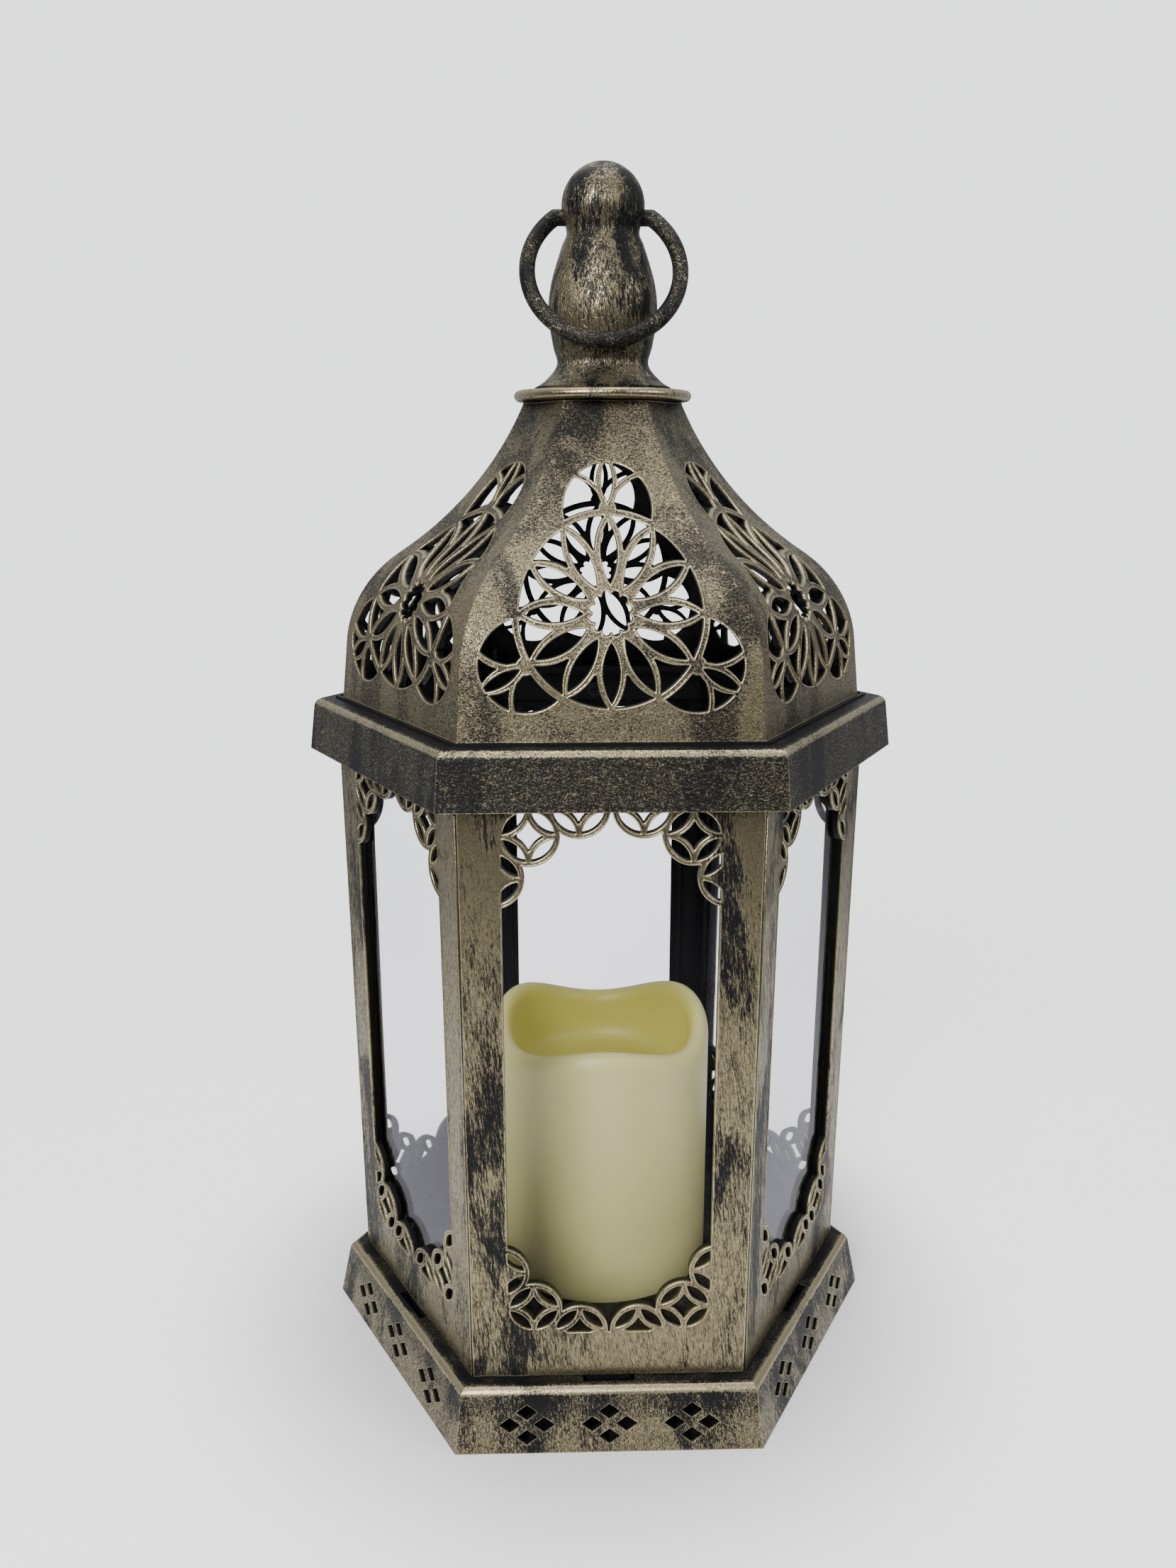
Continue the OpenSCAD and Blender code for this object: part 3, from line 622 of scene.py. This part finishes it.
def half_side():
    """Half of one side of the dome, pierced, bent to the ogee curve and cut at its mitre."""
    margin = 2.0
    levels = np.linspace(DOME_LOW.z, DOME_HIGH.z, DOME_LEVELS)
    edge = [(dome_profile(z, 0) * TAN30 + margin, z) for z in levels]
    outline = np.array([(-x, z) for x, z in edge][::-1] + edge)
    holes = [simplify(loop) for loop in contours(rosette, -38, 38, ROSETTE_Z - 28.5, ROSETTE_Z + 43.5)]
    bm = pierced_sheet(outline, holes, DOME_T)
    for z in levels[1:-1]:
        cut(bm, (0, z, 0), (0, 1, 0), 1e-5)
    for v in bm.verts:
        x, z, depth = v.co
        share = depth / DOME_T
        y = dome_profile(z, 0) * (1 - share) + dome_profile(z, DOME_T) * share
        v.co = (x, -y, z)
    for normal in ((1, 0, 0), (-math.cos(math.radians(30)), -math.sin(math.radians(30)), 0)):
        cut(bm, (0, 0, 0), normal, 1e-4, drop=True)
    half = bpy.data.meshes.new("dome_half")
    bm.to_mesh(half)
    bm.free()
    return half


def dome(material):
    """Twelve halves of a side, joined, with the six corners rounded."""
    half = half_side()
    whole = bmesh.new()
    for k in range(6):
        for flip in (1, -1):
            start = len(whole.verts)
            whole.from_mesh(half)
            whole.verts.ensure_lookup_table()
            fresh = whole.verts[start:]
            if flip < 0:
                bmesh.ops.scale(whole, vec=(-1, 1, 1), verts=fresh)
            turn = Matrix.Rotation(math.radians(60 * k), 3, "Z")
            bmesh.ops.rotate(whole, cent=(0, 0, 0), matrix=turn, verts=fresh)
    bmesh.ops.remove_doubles(whole, verts=whole.verts, dist=2e-3)
    bmesh.ops.recalc_face_normals(whole, faces=whole.faces)
    depth_of = whole.verts.layers.float["depth"]

    def on_corner(v):
        angle = math.degrees(math.atan2(v.co.y, v.co.x)) % 60
        return min(angle, 60 - angle) < 0.01 and v[depth_of] < 0.3

    corners = [e for e in whole.edges if on_corner(e.verts[0]) and on_corner(e.verts[1])]
    bmesh.ops.bevel(whole, geom=corners, offset=1.1, segments=3, profile=0.5, affect="EDGES",
                    clamp_overlap=True)
    to_object(whole, "dome_shell", "housing", "dome", material)


def wax_section(top):
    """Radius and height down the outside, over the rounded rim and through the well to the foot."""
    r, foot, floor = CANDLE_R, CANDLE_LOW.z, WICK_FLOOR
    over = [(math.cos(t), math.sin(t)) for t in np.radians(np.linspace(0, 180, 15))]
    outside = [(r, foot), (r, foot + 20), (r, 60), (r, 88)]
    rim = [(r - 3.4 + 3.4 * c, top - 5.0 + 5.0 * s) for c, s in over]
    well = [(r - 7.0, 93), (r - 7.3, floor + 5), (r - 8.4, floor + 1.6), (r - 11, floor + 0.3),
            (r - 15, floor), (5, floor)]
    under = [(5, floor - 4), (r - 9, floor - 4), (r - 4.2, floor - 9), (r - 4.2, foot)]
    return outside + rim + well + under


def candle(material):
    """A turned wax wall whose rim rises and falls three times."""
    bm = bmesh.new()
    rings = []
    for i in range(WAX_AROUND):
        a = 2 * math.pi * i / WAX_AROUND
        top = WAX_RIM + WAX_WAVE * math.cos(3 * a) - WAX_TILT * math.cos(2 * a)
        rings.append([bm.verts.new((r * math.sin(a), -r * math.cos(a), z))
                      for r, z in wax_section(top)])
    for here, ahead in zip(rings, rings[1:] + rings[:1]):
        for j in range(len(here)):
            k = (j + 1) % len(here)
            bm.faces.new((here[j], here[k], ahead[k], ahead[j]))
    bmesh.ops.recalc_face_normals(bm, faces=bm.faces)
    to_object(bm, "wax_pillar", "candle", "candle_shell", material)


def finish_node(name, material, bevel=0.0):
    """Gives a CAD node its material, and with modifiers rounds its edges when a bevel is given, or else
    splits them at sharp angles.
    """
    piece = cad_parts[name]
    piece.data.materials.clear()
    piece.data.materials.append(material)
    weld = piece.modifiers.new("weld", "WELD")
    weld.merge_threshold = 1e-6
    if bevel:
        flatten = piece.modifiers.new("flatten", "DECIMATE")
        flatten.decimate_type = "DISSOLVE"
        flatten.angle_limit = math.radians(0.3)
        edge = piece.modifiers.new("edge", "BEVEL")
        edge.width = bevel * MM
        edge.segments = 2
        edge.limit_method = "ANGLE"
        edge.angle_limit = math.radians(28)
        piece.modifiers.new("weighted", "WEIGHTED_NORMAL").weight = 80
    else:
        split = piece.modifiers.new("split", "EDGE_SPLIT")
        split.split_angle = math.radians(35)


# ---------- scene ----------

def backdrop():
    """A pale floor disc that fades out into the pale surroundings, with a painted shadow under the
    base.
    """
    bm = bmesh.new()
    bmesh.ops.create_circle(bm, cap_ends=True, segments=96, radius=1.6)
    mesh = bpy.data.meshes.new("floor")
    bm.to_mesh(mesh)
    bm.free()
    floor = bpy.data.objects.new("floor", mesh)
    bpy.context.scene.collection.objects.link(floor)
    s = material_shader("paper")
    place = s.add("ShaderNodeTexCoord").outputs["Object"]
    tone = s.mix(s.ramp(s.noise(place, 5, 3), 0.3, 0.7), (0.80, 0.80, 0.81, 1), (0.84, 0.84, 0.85, 1))
    seen = s.add("ShaderNodeLightPath").outputs["Is Camera Ray"]
    reach = s.vector("LENGTH", place)
    glow = s.math("MULTIPLY", seen, s.ramp(reach, 0.08, 0.16, 0.0, 0.9))
    # Painted shadow: the floor under the base is painted near black, where the base's shade falls
    behind = wall_depth(s, s.in_mm(place), BASE_FACE, 0.0)
    tone = s.mix(s.ramp(behind, 0.6, 1.8), tone, (0.03, 0.03, 0.03, 1))
    paper = s.add("ShaderNodeBsdfPrincipled", {"Base Color": tone, "Roughness": 0.6,
                  "Emission Color": (1, 1, 1, 1), "Emission Strength": glow})
    clear = s.add("ShaderNodeBsdfTransparent")
    under = s.add("ShaderNodeNewGeometry").outputs["Backfacing"]
    gone = s.math("MAXIMUM", s.ramp(reach, 0.22, 0.65), under)
    mixed = s.add("ShaderNodeMixShader", {0: gone, 1: paper.outputs[0], 2: clear.outputs[0]})
    mesh.materials.append(s.finish(mixed))


def area_light(name, where, target, size, power):
    data = bpy.data.lights.new(name, "AREA")
    data.shape, data.size, data.energy = "DISK", size, power
    lamp = bpy.data.objects.new(name, data)
    bpy.context.scene.collection.objects.link(lamp)
    lamp.location = where
    lamp.rotation_euler = (Vector(target) - Vector(where)).to_track_quat("-Z", "Y").to_euler()


def surroundings():
    """Pale everywhere the camera looks; for reflections, bright above and dim towards the front."""
    world = bpy.data.worlds.new("studio")
    bpy.context.scene.world = world
    s = Shader(world)
    direction = s.add("ShaderNodeTexCoord").outputs["Generated"]
    above = s.ramp(s.axis(direction, "Z"), 0.0, 0.9, 0.0, 0.4)
    behind = s.ramp(s.axis(direction, "Y"), -0.4, 0.7, 0.0, 0.4)
    power = s.math("ADD", s.math("ADD", above, behind), 0.12)
    seen = s.add("ShaderNodeLightPath").outputs["Is Camera Ray"]
    strength = s.math("MULTIPLY_ADD", seen, s.math("SUBTRACT", 2.2, power), power)
    sky = s.add("ShaderNodeBackground", {"Color": (0.96, 0.975, 1.0, 1), "Strength": strength})
    s.finish(sky, "World")


def lights():
    middle = (0, 0, 0.2)
    area_light("key", (-0.5, -1.15, 0.85), middle, 0.8, 26)
    area_light("fill", (1.1, -0.5, 0.8), middle, 0.7, 5)
    area_light("top", (0.0, 0.1, 1.5), middle, 1.2, 12)


def camera():
    """Slightly left of the middle, level with the dome and looking down at 14 degrees."""
    data = bpy.data.cameras.new("camera")
    data.lens = LENS
    data.sensor_width = 36
    cam = bpy.data.objects.new("camera", data)
    bpy.context.scene.collection.objects.link(cam)
    cam.location = CAMERA_AT
    cam.rotation_euler = Vector(CAMERA_LOOKS).to_track_quat("-Z", "Y").to_euler()
    bpy.context.scene.camera = cam


vertical = bronze("bronze_vertical", cover=0.05, patch=0.7, speck=0.2, contrast=0.7)
mottled = bronze("bronze_mottled", (0.5, 0.5, 0.9), cover=-0.06, patch=0.35, grain=2.2, speck=0.3,
                 scratch=0.6, dark_band=(290, 318))
plinth = bronze("bronze_plinth", cover=-0.15, patch=0.6, speck=0.15, contrast=0.8,
                skirt=(BASE_FACE, BASE_LEAN, BASE_TOP - 3.8), dark_band=(8, 15))
eave = bronze("bronze_eave", (0.3, 0.3, 1.2), cover=-0.62, patch=0.3, grain=2.2, speck=0.4,
              scratch=0.6, contrast=0.7, skirt=(EAVE_FACE, EAVE_LEAN, EAVE_LOW))
turned_dark = bronze("bronze_turned", (1, 1, 0.1), cover=-0.25, patch=0.7, speck=0.15, scratch=0.9,
                     worn=0.085, contrast=0.8, flange=25.8, gloss=0.24)
ring_dark = bronze("bronze_ring", (1, 1, 1), cover=-0.75, patch=0.5, speck=0.4, scratch=0.9,
                   worn=0.085, contrast=0.8, gloss=0.24)
black = plastic("black_plastic", (0.012, 0.012, 0.014), 0.35)
steel = plastic("zinc_plate", (0.62, 0.63, 0.65), 0.3, 1.0)

side_panels(vertical)
dome(mottled)
candle(wax())
finish_node("base_plinth", plinth, bevel=0.15)
finish_node("cornice", eave, bevel=0.3)
finish_node("finial", turned_dark)
finish_node("ring_handle", ring_dark)
sheet = clear_sheet()
for side in SIDES:
    finish_node("pane_" + side, sheet)
dark_steel = plastic("black_steel", (0.05, 0.05, 0.055), 0.35, 1.0)
for name in ("panel_screws", "dome_screws"):
    finish_node(name, dark_steel)
for name in ("finial_screw", "finial_washer", "battery_contacts"):
    finish_node(name, steel)
for name in ("candle_base", "battery_door", "led_post", "switch_body"):
    finish_node(name, black, bevel=0.2)
finish_node("batteries", plastic("cell_sleeve", (0.10, 0.22, 0.42), 0.3))
finish_node("circuit_board", plastic("circuit_green", (0.05, 0.24, 0.12), 0.35))
finish_node("battery_wires", plastic("wire_red", (0.6, 0.05, 0.04), 0.35))
finish_node("led_lamp", plastic("led_amber", (0.9, 0.6, 0.25), 0.15))
finish_node("switch_knob", plastic("grey_plastic", (0.5, 0.5, 0.5), 0.4), bevel=0.2)

backdrop()
surroundings()
lights()
camera()
